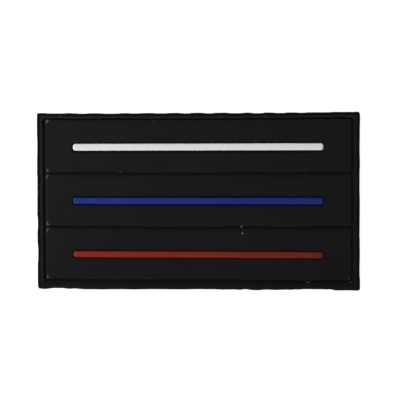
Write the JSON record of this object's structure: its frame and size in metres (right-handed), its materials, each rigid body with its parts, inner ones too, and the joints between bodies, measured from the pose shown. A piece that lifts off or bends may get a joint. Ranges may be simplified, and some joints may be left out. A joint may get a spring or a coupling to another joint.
{
  "type": "moulded flag patch",
  "caption": "Flat black moulded patch with a raised rim, long raised panels split by grooves, a coloured line set along each panel, and a hook-fastener back.",
  "frame": {"origin": "middle of the patch's outline, on the plane that its hooks rest on", "axes": "+X along the coloured lines, +Y towards the white line, +Z out of the face"},
  "size_m": [0.0904, 0.0496, 0.0039],
  "materials": {
    "black_pvc": "matt moulded soft PVC",
    "white_pvc": "satin moulded soft PVC",
    "blue_pvc": "satin moulded soft PVC",
    "red_pvc": "satin moulded soft PVC",
    "hook_nylon": "black woven nylon hook tape"
  },
  "bodies": {
    "root": {"moulded_body": "black_pvc", "white_line": "white_pvc", "blue_line": "blue_pvc", "red_line": "red_pvc", "hook_backing": "hook_nylon"}
  },
  "joints": []
}
